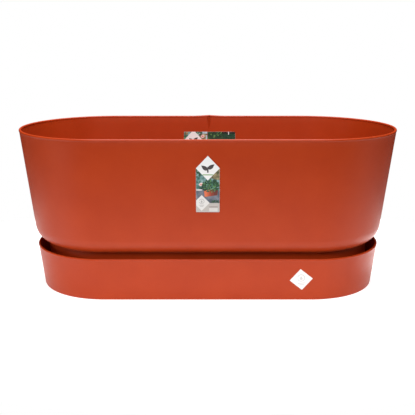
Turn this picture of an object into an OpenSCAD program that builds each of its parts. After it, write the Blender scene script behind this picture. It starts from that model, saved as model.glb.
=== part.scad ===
// Self watering planter: a long trough with round ends that stands in a water tray.
// Four perforated cups hang from the trough's floor into the water, each with a felt wick.
// Millimetres. Origin at the middle of the tray's underside, +X along the trough, front at -Y, +Z up.

/* [Trough] */
// Length over the rim
trough_len = 590; // [560:5:640]
// Depth over the rim, front to back
trough_depth = 275; // [260:5:300]
// Height of the rim above the ground
trough_h = 250; // [230:5:280]
// Wall and floor thickness
trough_wall = 3; // [2.4:0.2:4]
// Lean of every outer wall, in degrees
draft = 6.5; // [4:0.5:8]
// Radius of the rounded bottom edge
bottom_round = 30; // [20:1:32]
// Height at which the wall starts to round under
round_start = 97.5; // [90:0.5:105]

/* [Tray] */
// Height of the water tray
tray_h = 66.5; // [60:0.5:68]
// Depth over the tray's rim, front to back
tray_depth = 234; // [230:1:240]
// Tray wall and floor thickness
tray_wall = 2.6; // [2:0.2:3]

/* [Wick cups] */
// Distance between neighbouring cups
cup_pitch = 112; // [90:2:120]
// Radius of the hole in the trough's floor that holds a cup
cup_hole_r = 26; // [24:1:28]
// Number of water slots round each cup
cup_slots = 10; // [6:1:12]
// Width of the felt strip in each cup
wick_w = 20; // [14:1:22]

/* [Printed card] */
// Width of the front label
label_w = 34; // [30:1:40]
// Height of the front label, tip included
label_h = 85; // [75:1:95]
// Side of the square sticker on the tray
sticker_side = 24.5; // [20:0.5:30]

/* [Hidden] */

terracotta = [0.72, 0.27, 0.15];
$fn = 96;

sink = 0.5;                 // depth by which joined shapes run into each other

// Both shells are stadium shaped, and share the two centres of their round ends.
end_x = (trough_len - trough_depth) / 2;
trough_r = trough_depth / 2;
tray_r = tray_depth / 2;

// Tray
tray_foot_h = 1.6;          // lift of the tray's floor above the ground
tray_foot_w = 9;            // width of the standing ring
tray_base_round = 1.4;
tray_inner_round = 5;
tray_floor_z = tray_foot_h + tray_wall;
tray_bar_w = 4;             // standing bars under the tray's floor
tray_bar_len = 184;
tray_bar_pitch = 80;
ridge_h = 5;                // ridge on the tray's floor that keeps the trough central
ridge_w = 2;
ridge_gap = 0.6;            // space between the ridge and the trough's skirt
water_slot_w = 3.6;         // slots through the ridge and the skirt, which let the water in
water_slot_h = 14;
water_slot_pitch = 40;

// Drain in the tray's back wall
drain_r = 6;
drain_z = 14;
drain_boss_r = 10;
drain_boss_out_y = 114.5;   // flat outer face, and seat of the plug's head
drain_boss_in_y = 106.5;
plug_head_r = 8.5;
plug_head_t = 2.5;
plug_shank = 9.5;
plug_clearance = 0.08;
plug_tab = [10, 3, 9];      // grip: width, thickness, length

// Trough
skirt_r = 99.5;             // outer face of the skirt that stands in the tray
skirt_wall = 2.5;
floor_rib_h = 10;
floor_rib_w = 2;
drain_hole_r = 2;
drain_hole_ys = [-70, -45, 45, 70];
collar_wall = 2.4;
collar_h = 9;
stack_rib_x = 2.2;          // how far the stacking ribs are from mid-length
stack_rib_w = 4.6;
stack_rib_h = 21;
stack_rib_top = 2.4;        // how far a stacking rib stands off the wall at its top
stack_rib_drop = 3.4;       // distance from the rim down to a stacking rib

// Wick cups, measured down from the trough's floor
cup_wall = 1.8;
cup_flange_r = 31;
cup_flange_t = 2;
cup_clearance = 0.2;
cup_neck_h = 12;
cup_foot_gap = 5.6;         // space between a cup and the tray's floor
cup_bottom_r = 19;
slot_w = 3;
foot_hole_r = 2;
cup_xs = [for (i = [-1.5:1:1.5]) i * cup_pitch];

// Felt wicks: a strip laid in a U in each cup, its ends spread on the trough's floor
wick_t = 3;
wick_gap = 0.5;             // space between the felt and what it lies on
wick_over_flange = 1;
wick_slope = 4;             // run in which the strip comes down from the flange to the floor
wick_end = 22;              // length of strip that lies beyond the cup's flange

// Labels
card_t = 0.4;
glue_t = 0.5;
glue_r = 5;
label_foot_z = 142;         // height of the front label's lower edge
label_glue_ys = [18, 63];
leaflet_glue_ys = [20, 70];
leaflet_h = 90;
leaflet_top = 28;           // distance from the rim down to the leaflet
leaflet_cover_w = 41.4;
leaflet_back_w = 48.9;
leaflet_fold_x = -0.5;
leaflet_crease = 0.6;       // gap at the fold between the two leaves
card_gap = 0.02;           // space between a card and its glue, or a sticker and its wall
sticker_t = 0.25;
sticker_x = 140.6;
sticker_z = 34;
sticker_turn = 45 + 5.5;

// ---- Outlines ----

// Points on an arc round [cx, cy], from angle a0 to a1
function arc(cx, cy, r, a0, a1, n = 14) =
    [for (i = [0:n]) let (a = a0 + (a1 - a0) * i / n) [cx + r * cos(a), cy + r * sin(a)]];

// Outer radius at height z of a leaning wall whose rounded rim reaches radius rim_r at height top
function wall_r(z, rim_r, top, w) =
    rim_r - w / 2 * (1 - cos(draft)) - (top - w / 2 - w / 2 * sin(draft) - z) * tan(draft);

// Centre of a fillet of radius r that touches a leaning wall, and a floor at height z
function fillet_centre(z, r, wall_radius) =
    [wall_radius - r * cos(draft), z + r];

trough_round_c = [
    wall_r(round_start, trough_r, trough_h, trough_wall) - bottom_round * cos(draft),
    round_start + bottom_round * sin(draft)
];
under_floor_z = trough_round_c.y - bottom_round;
floor_z = under_floor_z + trough_wall;
skirt_top_z = trough_round_c.y - sqrt(pow(bottom_round, 2) - pow(skirt_r - trough_round_c.x, 2));
skirt_top_angle = -acos((skirt_r - trough_round_c.x) / bottom_round);
cup_foot_z = tray_floor_z + cup_foot_gap;
ridge_r = skirt_r - skirt_wall - ridge_gap;

// Radius of the trough's inner wall at height z
function trough_in_r(z) =
    wall_r(z, trough_r, trough_h, trough_wall) - trough_wall / cos(draft);

// Half section of the trough: floor, skirt, rounded edge, wall and rim
function trough_section() = concat(
    [[0, under_floor_z], [skirt_r - skirt_wall, under_floor_z], [skirt_r - skirt_wall, tray_floor_z],
     [skirt_r, tray_floor_z]],
    arc(trough_round_c.x, trough_round_c.y, bottom_round, skirt_top_angle, -draft),
    arc(trough_r - trough_wall / 2, trough_h - trough_wall / 2, trough_wall / 2, -draft, 180 - draft, 10),
    arc(trough_round_c.x, trough_round_c.y, bottom_round - trough_wall, -draft, -90),
    [[0, floor_z]]
);

// Half section of the tray: floor, standing ring, wall and rim
function tray_section() =
    let (
        outer_z = tray_base_round * (1 - sin(draft)),
        outer = fillet_centre(0, tray_base_round, wall_r(outer_z, tray_r, tray_h, tray_wall)),
        inner_z = tray_floor_z + tray_inner_round * (1 - sin(draft)),
        inner = fillet_centre(tray_floor_z, tray_inner_round,
            wall_r(inner_z, tray_r, tray_h, tray_wall) - tray_wall / cos(draft)),
        ring_r = outer.x + tray_base_round - tray_foot_w
    )
    concat(
        [[0, tray_foot_h], [ring_r, tray_foot_h], [ring_r, 0]],
        arc(outer.x, outer.y, tray_base_round, -90, -draft, 6),
        arc(tray_r - tray_wall / 2, tray_h - tray_wall / 2, tray_wall / 2, -draft, 180 - draft, 10),
        arc(inner.x, inner.y, tray_inner_round, -draft, -90, 8),
        [[0, tray_floor_z]]
    );

// ---- Shared shapes ----

// Carries a half section (radius, height) round the stadium: two half turns and the straight between them
module stadium(points) {
    for (side = [-1, 1])
        translate([side * end_x, 0, 0]) rotate([0, 0, -side * 90])
            rotate_extrude(angle = 180) polygon(points);
    translate([-end_x, 0, 0]) rotate([90, 0, 90]) linear_extrude(2 * end_x) {
        polygon(points);
        mirror([1, 0]) polygon(points);
    }
}

// A stadium ring of rectangular section
module stadium_ring(r, w, z0, z1) {
    stadium([[r - w, z0], [r, z0], [r, z1], [r - w, z1]]);
}

// Puts children, drawn with x across and y up, flat on the trough's or tray's leaning outer front wall
module on_front_wall(x, z, rim_r, top, w, lift) {
    translate([x, -wall_r(z, rim_r, top, w), z])
        rotate([90 + draft, 0, 0]) translate([0, 0, lift]) children();
}

// The same on the trough's inner back wall
module on_back_wall(x, z, lift) {
    translate([x, trough_in_r(z), z])
        rotate([90 - draft, 0, 0]) translate([0, 0, lift]) children();
}

// ---- Tray ----

// Slots that let water under the trough, at the same places in the ridge and the skirt
module water_slots(h) {
    reach = 2 * (end_x + trough_r);
    for (i = [-4:1:3]) translate([(i + 0.5) * water_slot_pitch - water_slot_w / 2, -trough_r, tray_floor_z])
        cube([water_slot_w, trough_depth, h]);
    translate([-reach / 2, -water_slot_w / 2, tray_floor_z]) cube([reach, water_slot_w, h]);
}

module reservoir_saucer() color(terracotta) difference() {
    union() {
        stadium(tray_section());
        difference() {
            stadium_ring(ridge_r, ridge_w, tray_floor_z - sink, tray_floor_z + ridge_h);
            water_slots(ridge_h + 1);
        }
        for (i = [-2:1:2]) translate([i * tray_bar_pitch - tray_bar_w / 2, -tray_bar_len / 2, 0])
            cube([tray_bar_w, tray_bar_len, tray_foot_h + sink]);
        translate([0, drain_boss_out_y, drain_z]) rotate([90, 0, 0])
            cylinder(r = drain_boss_r, h = drain_boss_out_y - drain_boss_in_y);
    }
    translate([0, drain_boss_out_y + 1, drain_z]) rotate([90, 0, 0])
        cylinder(r = drain_r, h = drain_boss_out_y - drain_boss_in_y + 2);
}

// Soft push-in plug: head, shank and a tab to pull it by
module drain_plug() color([0.16, 0.16, 0.17])
    translate([0, drain_boss_out_y, drain_z]) rotate([-90, 0, 0]) {
        cylinder(r = plug_head_r, h = plug_head_t);
        translate([0, 0, -plug_shank]) cylinder(r = drain_r - plug_clearance, h = plug_shank + sink);
        translate([-plug_tab.x / 2, -plug_tab.y / 2, plug_head_t - sink])
            cube([plug_tab.x, plug_tab.y, plug_tab.z + sink]);
    }

// ---- Trough ----

// Rib that stands upright against the leaning wall, so that stacked troughs don't jam
module stacking_rib() {
    z1 = trough_h - stack_rib_drop;
    z0 = z1 - stack_rib_h;
    translate([stack_rib_x - stack_rib_w / 2, 0, 0]) rotate([90, 0, 90]) linear_extrude(stack_rib_w)
        polygon([
            [trough_in_r(z1) + 1, z1], [trough_in_r(z1) - stack_rib_top, z1], [trough_in_r(z0), z0],
            [trough_in_r(z0) + 1, z0]
        ]);
}

// Stiffening rib across the trough's underside, from skirt to skirt
module floor_rib() {
    reach = skirt_r - skirt_wall / 2;
    translate([-floor_rib_w / 2, -reach, 0]) cube([floor_rib_w, 2 * reach, floor_rib_h + sink]);
}

module planter_trough() color(terracotta) difference() {
    union() {
        stadium(trough_section());
        for (side = [0, 1]) mirror([0, side, 0]) stacking_rib();
        for (x = cup_xs) translate([x, 0, under_floor_z - collar_h])
            cylinder(r = cup_hole_r + collar_wall, h = collar_h + sink);
        for (i = [-1:1:1]) translate([i * cup_pitch, 0, under_floor_z - floor_rib_h]) floor_rib();
    }
    for (x = cup_xs) translate([x, 0, under_floor_z - collar_h - 1])
        cylinder(r = cup_hole_r, h = collar_h + trough_wall + 2);
    for (x = cup_xs, y = drain_hole_ys) translate([x, y, under_floor_z - 1])
        cylinder(r = drain_hole_r, h = trough_wall + 2);
    translate([0, 0, -1]) water_slots(water_slot_h + 1);
}

// ---- Wick cups ----

module wick_cup(x) color([0.13, 0.13, 0.14]) translate([x, 0, 0]) {
    neck_r = cup_hole_r - cup_clearance;
    neck_z = floor_z - cup_neck_h;
    slot_z = cup_foot_z + 8;
    slot_h = neck_z - slot_z - 4;
    difference() {
        rotate_extrude() polygon([
            [0, cup_foot_z], [cup_bottom_r, cup_foot_z], [neck_r, neck_z], [neck_r, floor_z],
            [cup_flange_r, floor_z], [cup_flange_r, floor_z + cup_flange_t],
            [neck_r - cup_wall, floor_z + cup_flange_t], [neck_r - cup_wall, neck_z],
            [cup_bottom_r - cup_wall, cup_foot_z + cup_wall], [0, cup_foot_z + cup_wall]
        ]);
        for (i = [0:1:cup_slots - 1]) rotate([0, 0, (i + 0.5) * 360 / cup_slots])
            translate([cup_bottom_r / 2, -slot_w / 2, slot_z]) cube([cup_hole_r, slot_w, slot_h]);
        for (i = [0:1:5]) rotate([0, 0, i * 60]) translate([cup_bottom_r / 2, 0, cup_foot_z - 1])
            cylinder(r = foot_hole_r, h = cup_wall + 2);
    }
}

// Half length of a strip of width wick_w across a circle of radius r
function chord(r) = sqrt(pow(r, 2) - pow(wick_w / 2, 2));

// One face of the strip at height t over its lower face, from the cup's middle out to the strip's end
function wick_face(t) =
    let (
        foot = cup_foot_z + cup_wall + wick_gap + t,
        foot_x = chord(cup_bottom_r - cup_wall - wick_gap) - t,
        neck_x = chord(cup_hole_r - cup_clearance - cup_wall - wick_gap) - t,
        flange = floor_z + cup_flange_t + wick_gap + t,
        flange_x = cup_flange_r + wick_over_flange,
        floor = floor_z + wick_gap + t
    )
    [[foot_x, foot], [neck_x, floor_z - cup_neck_h], [neck_x, flange], [flange_x, flange],
     [flange_x + wick_slope, floor], [cup_flange_r + wick_end, floor]];

function reversed(list) = [for (i = [len(list) - 1:-1:0]) list[i]];
function mirrored(list) = [for (p = list) [-p.x, p.y]];

// Felt strip, laid along X: down into the cup, across its floor, up the other side and out over its flange
module capillary_wick(x) color([0.87, 0.86, 0.82]) {
    lower = wick_face(0);
    upper = wick_face(wick_t);
    translate([x, wick_w / 2, 0]) rotate([90, 0, 0]) linear_extrude(wick_w)
        polygon(concat(lower, reversed(upper), mirrored(upper), reversed(mirrored(lower))));
}

// ---- Printed card ----

module front_label_glue() color([0.9, 0.88, 0.8])
    for (y = label_glue_ys)
        on_front_wall(0, label_foot_z, trough_r, trough_h, trough_wall, 0)
            translate([0, y, 0]) cylinder(r = glue_r, h = glue_t);

// House-shaped card
module front_label() color([0.93, 0.93, 0.9])
    on_front_wall(0, label_foot_z, trough_r, trough_h, trough_wall, glue_t + card_gap)
        linear_extrude(card_t) polygon([
            [-label_w / 2, 0], [label_w / 2, 0], [label_w / 2, label_h - label_w / 2],
            [0, label_h], [-label_w / 2, label_h - label_w / 2]
        ]);

leaflet_foot_z = trough_h - (leaflet_top + leaflet_h) * cos(draft);

module care_leaflet_glue() color([0.9, 0.88, 0.8])
    for (y = leaflet_glue_ys)
        on_back_wall(leaflet_fold_x - leaflet_cover_w / 2, leaflet_foot_z, 0)
            translate([0, y, 0]) cylinder(r = glue_r, h = glue_t);

// Folded care leaflet: the cover is glued to the wall, the other leaf swings on the fold
module care_leaflet_cover() color([0.35, 0.45, 0.35])
    on_back_wall(leaflet_fold_x - leaflet_cover_w, leaflet_foot_z, glue_t + card_gap)
        cube([leaflet_cover_w - leaflet_crease / 2, leaflet_h, card_t]);

module care_leaflet_back() color([0.15, 0.3, 0.18])
    on_back_wall(leaflet_fold_x + leaflet_crease / 2, leaflet_foot_z, glue_t + card_gap)
        cube([leaflet_back_w - leaflet_crease / 2, leaflet_h, card_t]);

module saucer_sticker() color([0.95, 0.95, 0.95])
    on_front_wall(sticker_x, sticker_z, tray_r, tray_h, tray_wall, card_gap)
        rotate([0, 0, sticker_turn]) translate([-sticker_side / 2, -sticker_side / 2, 0])
            cube([sticker_side, sticker_side, sticker_t]);

// ---- Nodes ----

reservoir_saucer();
drain_plug();
planter_trough();
wick_cup(cup_xs[0]);  // wick_cup_1
wick_cup(cup_xs[1]);  // wick_cup_2
wick_cup(cup_xs[2]);  // wick_cup_3
wick_cup(cup_xs[3]);  // wick_cup_4
capillary_wick(cup_xs[0]);  // capillary_wick_1
capillary_wick(cup_xs[1]);  // capillary_wick_2
capillary_wick(cup_xs[2]);  // capillary_wick_3
capillary_wick(cup_xs[3]);  // capillary_wick_4
front_label();
front_label_glue();
care_leaflet_cover();
care_leaflet_back();
care_leaflet_glue();
saucer_sticker();
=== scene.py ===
"""Looks of a self watering planter: a long trough with round ends, standing in a water tray.

Metres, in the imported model's frame: +X along the trough, the labelled front at -Y, the ground at z = 0.
"""

import math
import random

import bmesh
import bpy
from mathutils import Matrix, Vector


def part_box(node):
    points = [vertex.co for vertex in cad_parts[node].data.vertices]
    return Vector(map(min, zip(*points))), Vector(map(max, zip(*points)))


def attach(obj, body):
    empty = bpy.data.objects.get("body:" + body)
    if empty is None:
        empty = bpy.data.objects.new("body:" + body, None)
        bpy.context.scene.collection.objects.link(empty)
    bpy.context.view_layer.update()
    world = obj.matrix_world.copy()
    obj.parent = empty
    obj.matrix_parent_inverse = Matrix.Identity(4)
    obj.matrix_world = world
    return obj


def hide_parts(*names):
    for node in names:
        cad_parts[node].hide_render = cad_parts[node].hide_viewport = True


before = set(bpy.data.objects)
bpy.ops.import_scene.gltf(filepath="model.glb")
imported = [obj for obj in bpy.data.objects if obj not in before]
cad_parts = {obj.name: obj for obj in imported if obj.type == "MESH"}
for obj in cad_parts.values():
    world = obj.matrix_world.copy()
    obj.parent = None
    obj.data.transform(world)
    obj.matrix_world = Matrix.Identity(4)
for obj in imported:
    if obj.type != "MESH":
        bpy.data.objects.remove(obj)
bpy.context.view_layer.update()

MM = 0.001

# ---- Sizes, which repeat the design's or are read from its boxes ----

DRAFT = math.radians(6.5)
trough_lo, trough_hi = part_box("planter_trough")
tray_lo, tray_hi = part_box("reservoir_saucer")
TROUGH_R = (trough_hi.y - trough_lo.y) / 2
END_X = (trough_hi.x - trough_lo.x) / 2 - TROUGH_R     # centres of the round ends
TROUGH_TOP = trough_hi.z
TROUGH_WALL = 3 * MM
BOTTOM_ROUND = 30 * MM
ROUND_START = 97.5 * MM
SKIRT_R = 99.5 * MM
SKIRT_WALL = 2.5 * MM
TRAY_R = (tray_hi.y - tray_lo.y) / 2
TRAY_TOP = tray_hi.z
TRAY_WALL = 2.6 * MM
TRAY_FOOT = 1.6 * MM
TRAY_FLOOR = trough_lo.z
FOOT_RING = 9 * MM
SLOT_W = 3.6 * MM
SLOT_H = 14 * MM
SLOT_PITCH = 40 * MM
RIB_X = 2.2 * MM         # the stacking ribs, off mid-length by this much
RIB_STAND = 2.2 * MM
RIB_LEN = 21 * MM
RIB_DROP = 3.4 * MM

CUPS = [1, 2, 3, 4]
CUP_X = [sum(c.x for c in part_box(f"wick_cup_{i}")) / 2 for i in CUPS]
CUP_HOLE_R = 26 * MM
CUP_NECK_R = CUP_HOLE_R - 0.2 * MM
CUP_NECK_H = 12 * MM
CUP_FOOT_R = 19 * MM
CUP_WALL = 1.8 * MM
CUP_FLANGE_T = 2 * MM
DRAIN_Z = sum(c.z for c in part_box("drain_plug")) / 2
DRAIN_FACE_Y = 114.5 * MM

CARD_T = 0.4 * MM
STICKER_T = 0.25 * MM
INK = 0.03 * MM

ARC_STEPS = 72       # segments in each round end
SIDE_STEPS = 44      # segments in each straight side


# ---- Outlines ----

def arc(cx, cy, r, start, end, steps=12):
    """Points on an arc; start and end are in degrees."""
    turns = [math.radians(start + (end - start) * i / steps) for i in range(steps + 1)]
    return [(cx + r * math.cos(a), cy + r * math.sin(a)) for a in turns]


def line(a, b, steps):
    """Points between a and b, without its two ends."""
    return [(a[0] + (b[0] - a[0]) * i / steps, a[1] + (b[1] - a[1]) * i / steps) for i in range(1, steps)]


def wall_r(z, rim_r, top, wall):
    """Outer radius of a leaning wall at height z."""
    lip = wall / 2
    return rim_r - lip * (1 - math.cos(DRAFT)) - (top - lip - lip * math.sin(DRAFT) - z) * math.tan(DRAFT)


def trough_in_r(z):
    return wall_r(z, TROUGH_R, TROUGH_TOP, TROUGH_WALL) - TROUGH_WALL / math.cos(DRAFT)


def beaded(rim_r, top, wall, bead):
    """Half section over a rim that is thickened to a round bead, from the outside to the inside."""
    z = top - 2.2 * bead
    outer = wall_r(z, rim_r, top, wall)
    middle = rim_r - wall / 2
    return [(outer, z)] + arc(middle, top - bead, bead, -42, 218, 22) + [(outer - wall / math.cos(DRAFT), z)]


lean = math.degrees(DRAFT)
round_r = wall_r(ROUND_START, TROUGH_R, TROUGH_TOP, TROUGH_WALL) - BOTTOM_ROUND * math.cos(DRAFT)
round_z = ROUND_START + BOTTOM_ROUND * math.sin(DRAFT)
UNDER_FLOOR = round_z - BOTTOM_ROUND
FLOOR = UNDER_FLOOR + TROUGH_WALL


def trough_section():
    """Half section from the underside of the floor, round the skirt and the rim, to the floor's top."""
    skirt_top = -math.degrees(math.acos((SKIRT_R - round_r) / BOTTOM_ROUND))
    foot = 0.7 * MM
    inner = SKIRT_R - SKIRT_WALL
    outside = arc(round_r, round_z, BOTTOM_ROUND, skirt_top, -lean, 20)
    lip = beaded(TROUGH_R, TROUGH_TOP, TROUGH_WALL, 2.0 * MM)
    inside = arc(round_r, round_z, BOTTOM_ROUND - TROUGH_WALL, -lean, -90, 16)
    return (
        [(inner, UNDER_FLOOR)]
        + line((inner, UNDER_FLOOR), (inner, TRAY_FLOOR), 4)
        + arc(inner + foot, TRAY_FLOOR + foot, foot, 180, 270, 4)
        + arc(SKIRT_R - foot, TRAY_FLOOR + foot, foot, -90, 0, 4)
        + line((SKIRT_R, TRAY_FLOOR), outside[0], 6)
        + outside + line(outside[-1], lip[0], 14) + lip + line(lip[-1], inside[0], 14) + inside
    )


def tray_section():
    """Half section from the recessed underside, round the standing ring and the rim, to the floor's top."""
    base, inner = 1.4 * MM, 5 * MM
    floor = TRAY_FOOT + TRAY_WALL
    base_r = wall_r(base * (1 - math.sin(DRAFT)), TRAY_R, TRAY_TOP, TRAY_WALL) - base * math.cos(DRAFT)
    inner_wall = wall_r(floor + inner * (1 - math.sin(DRAFT)), TRAY_R, TRAY_TOP, TRAY_WALL)
    inner_r = inner_wall - TRAY_WALL / math.cos(DRAFT) - inner * math.cos(DRAFT)
    ring_r = base_r + base - FOOT_RING
    foot = 0.6 * MM
    outside = arc(base_r, base, base, -90, -lean, 8)
    lip = beaded(TRAY_R, TRAY_TOP, TRAY_WALL, 1.7 * MM)
    inside = arc(inner_r, floor + inner, inner, -lean, -90, 10)
    return (
        [(ring_r, TRAY_FOOT)]
        + arc(ring_r + foot, foot, foot, 180, 270, 4)
        + outside + line(outside[-1], lip[0], 8) + lip + line(lip[-1], inside[0], 8) + inside
    )


# ---- Mesh tools ----

def stadium(r, z):
    """A ring of points round a stadium of end radius r, denser near the middle of the straight sides."""
    spread = [(1 - 2 * i / SIDE_STEPS) for i in range(SIDE_STEPS + 1)]
    xs = [END_X * math.copysign(abs(t) ** 1.7, t) for t in spread]
    turns = [math.pi * (i / ARC_STEPS - 0.5) for i in range(ARC_STEPS + 1)]
    right = [Vector((END_X + r * math.cos(a), r * math.sin(a), z)) for a in turns]
    back = [Vector((x, r, z)) for x in xs[1:-1]]
    left = [Vector((-p.x, -p.y, z)) for p in right]
    front = [Vector((-p.x, -p.y, z)) for p in back]
    return right + back + left + front


def join_rings(bm, rings, closed=False):
    """Quads between successive rings of points."""
    made = [[bm.verts.new(p) for p in ring] for ring in rings]
    pairs = list(zip(made, made[1:])) + ([(made[-1], made[0])] if closed else [])
    for a, b in pairs:
        for i in range(len(a)):
            j = (i + 1) % len(a)
            bm.faces.new((a[i], a[j], b[j], b[i]))
    return made


def shell(section, shape=None):
    """A closed stadium shell from its half section, with flat floors. shape may move each point."""
    bm = bmesh.new()
    made = join_rings(bm, [stadium(r, z) for r, z in section])
    bm.faces.new(made[0])
    bm.faces.new(made[-1])
    if shape:
        for v in bm.verts:
            v.co = shape(v.co)
    return bm


def ring_of(r, width, z0, z1):
    """A stadium ring of rectangular section with softened top edges."""
    soft = min(width / 3, 0.5 * MM)
    section = [(r - width, z0), (r, z0)] + arc(r - soft, z1 - soft, soft, 0, 90, 3)
    section += arc(r - width + soft, z1 - soft, soft, 90, 180, 3)
    bm = bmesh.new()
    join_rings(bm, [stadium(a, z) for a, z in section], closed=True)
    return bm


def turned(section, centre, axis="Z", steps=96):
    """A closed solid turned from a half section that starts and ends on its axis."""
    bm = bmesh.new()
    rows = []
    for r, z in section:
        if r < 1e-7:
            rows.append([bm.verts.new((0, 0, z))])
        else:
            turns = [2 * math.pi * i / steps for i in range(steps)]
            rows.append([bm.verts.new((r * math.cos(a), r * math.sin(a), z)) for a in turns])
    for a, b in zip(rows, rows[1:]):
        for i in range(steps):
            j = (i + 1) % steps
            corners = [a[i % len(a)], a[j % len(a)], b[j % len(b)], b[i % len(b)]]
            corners = [v for n, v in enumerate(corners) if v not in corners[:n]]
            if len(corners) > 2:
                bm.faces.new(corners)
    turn = {"Z": Matrix.Identity(4), "Y": Matrix.Rotation(-math.pi / 2, 4, "X")}[axis]
    bm.transform(Matrix.Translation(centre) @ turn)
    return bm


def box_mesh(lo, hi):
    bm = bmesh.new()
    bmesh.ops.create_cube(bm, size=1)
    size = Vector(hi) - Vector(lo)
    bm.transform(Matrix.Translation((Vector(lo) + Vector(hi)) / 2) @ Matrix.Diagonal((*size, 1)))
    return bm


def round_edges(bm, edges, radius):
    bmesh.ops.bevel(bm, geom=edges, offset=radius, segments=4, affect="EDGES", profile=0.5)


def rod(radius, centre, z0, z1, steps=64):
    """A plain cylinder along Z."""
    return turned([(0, z0), (radius, z0), (radius, z1), (0, z1)], Vector((*centre, 0)), steps=steps)


def as_object(name, bm):
    bmesh.ops.recalc_face_normals(bm, faces=bm.faces)
    mesh = bpy.data.meshes.new(name)
    bm.to_mesh(mesh)
    bm.free()
    obj = bpy.data.objects.new(name, mesh)
    bpy.context.scene.collection.objects.link(obj)
    return obj


def combine(obj, meshes, operation):
    """Adds to or cuts from obj. The meshes don't touch one another."""
    tool = bmesh.new()
    for bm in meshes:
        bmesh.ops.recalc_face_normals(bm, faces=bm.faces)
        piece = bpy.data.meshes.new("tool")
        bm.to_mesh(piece)
        bm.free()
        tool.from_mesh(piece)
        bpy.data.meshes.remove(piece)
    other = as_object("tool", tool)
    modifier = obj.modifiers.new("combine", "BOOLEAN")
    modifier.operation = operation
    modifier.solver = "EXACT"
    modifier.object = other
    evaluated = obj.evaluated_get(bpy.context.evaluated_depsgraph_get())
    mesh = bpy.data.meshes.new_from_object(evaluated)
    obj.modifiers.clear()
    obj.data = mesh
    bpy.data.objects.remove(other)
    return obj


def finished(obj, materials, body, node, sharp=38):
    """Smooth shading up to sharp degrees, materials, and the piece's place in the frame."""
    for polygon in obj.data.polygons:
        polygon.use_smooth = True
    obj.data.set_sharp_from_angle(angle=math.radians(sharp))
    for material in materials:
        obj.data.materials.append(material)
    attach(obj, body)
    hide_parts(node)
    return obj


# ---- Materials ----

class Finish:
    """A procedural material, built a node at a time. Lengths are in metres, in the piece's own space."""

    def __init__(self, name, **inputs):
        self.material = bpy.data.materials.new(name)
        self.material.use_nodes = True
        self.tree = self.material.node_tree
        self.shader = self.tree.nodes["Principled BSDF"]
        self.place = self.tree.nodes.new("ShaderNodeTexCoord").outputs["Object"]
        for key, value in inputs.items():
            self.shader.inputs[key.replace("_", " ")].default_value = value

    def node(self, kind, links=None, **values):
        made = self.tree.nodes.new("ShaderNode" + kind)
        for key, value in values.items():
            setattr(made, key, value)
        for key, value in (links or {}).items():
            if isinstance(value, bpy.types.NodeSocket):
                self.tree.links.new(value, made.inputs[key])
            else:
                made.inputs[key].default_value = value
        return made

    def noise(self, size, detail=3, rough=0.5, stretch=(1, 1, 1)):
        """Noise whose features are about size metres across."""
        moved = self.node("Mapping", {"Vector": self.place, "Scale": stretch}).outputs[0]
        links = {"Vector": moved, "Scale": 1 / size, "Detail": detail, "Roughness": rough}
        return self.node("TexNoise", links).outputs["Fac"]

    def remap(self, value, lo, hi, to_lo, to_hi):
        links = {"Value": value, "From Min": lo, "From Max": hi, "To Min": to_lo, "To Max": to_hi}
        return self.node("MapRange", links).outputs["Result"]

    def ramp(self, value, *stops):
        made = self.node("ValToRGB", {"Fac": value})
        elements = made.color_ramp.elements
        while len(elements) < len(stops):
            elements.new(0.5)
        for element, (position, colour) in zip(elements, stops):
            element.position = position
            element.color = (*colour, 1)
        return made.outputs["Color"]

    def add(self, a, b, share=1.0):
        scaled = self.node("Math", {0: b, 1: share}, operation="MULTIPLY").outputs[0]
        return self.node("Math", {0: a, 1: scaled}, operation="ADD").outputs[0]

    def paint(self, **sockets):
        for key, value in sockets.items():
            self.tree.links.new(value, self.shader.inputs[key.replace("_", " ")])
        return self

    def bump(self, height, distance, strength=1.0):
        links = {"Height": height, "Distance": distance, "Strength": strength}
        made = self.node("Bump", links)
        self.tree.links.new(made.outputs["Normal"], self.shader.inputs["Normal"])
        return self


def plastic(name, dark, light, roughness, grain=0.9 * MM, depth=0.02 * MM):
    """Through-coloured moulded plastic: faint flow mottling, a fine spark-eroded grain, and rub marks."""
    f = Finish(name, Specular_IOR_Level=0.2)
    mottle = f.noise(60 * MM, detail=5, rough=0.6)
    fleck = f.noise(1.6 * MM, detail=2)
    tone = f.add(mottle, fleck, 0.35)
    f.paint(Base_Color=f.ramp(tone, (0.42, dark), (0.92, light)))
    rub = f.noise(12 * MM, detail=6, rough=0.7, stretch=(1, 1, 3))
    f.paint(Roughness=f.remap(rub, 0.3, 0.7, roughness - 0.04, roughness + 0.05))
    texture = f.add(f.noise(grain, detail=4, rough=0.65), f.noise(90 * MM, detail=1), 2.0)
    return f.bump(texture, depth).material


def rubber(name, colour):
    f = Finish(name, Specular_IOR_Level=0.4)
    bloom = f.noise(7 * MM, detail=5, rough=0.65)
    f.paint(Base_Color=f.ramp(bloom, (0.35, colour), (0.8, tuple(c * 2.2 for c in colour))))
    f.paint(Roughness=f.remap(bloom, 0.3, 0.7, 0.5, 0.75))
    return f.bump(f.noise(0.7 * MM, detail=3), 0.03 * MM).material


def felt(name, dark, light):
    """Needled felt: matted fibres over a soft lumpy base."""
    f = Finish(name, Roughness=0.95, Specular_IOR_Level=0.1, Sheen_Weight=0.35, Sheen_Roughness=0.6)
    fibre = f.noise(0.5 * MM, detail=7, rough=0.75, stretch=(1, 1, 0.35))
    cross = f.noise(0.4 * MM, detail=7, rough=0.75, stretch=(0.3, 1, 1))
    lump = f.noise(6 * MM, detail=3)
    mat = f.add(f.add(fibre, cross, 0.7), lump, 0.5)
    f.paint(Base_Color=f.ramp(mat, (0.75, dark), (1.35, light)))
    return f.bump(mat, 0.35 * MM).material


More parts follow.
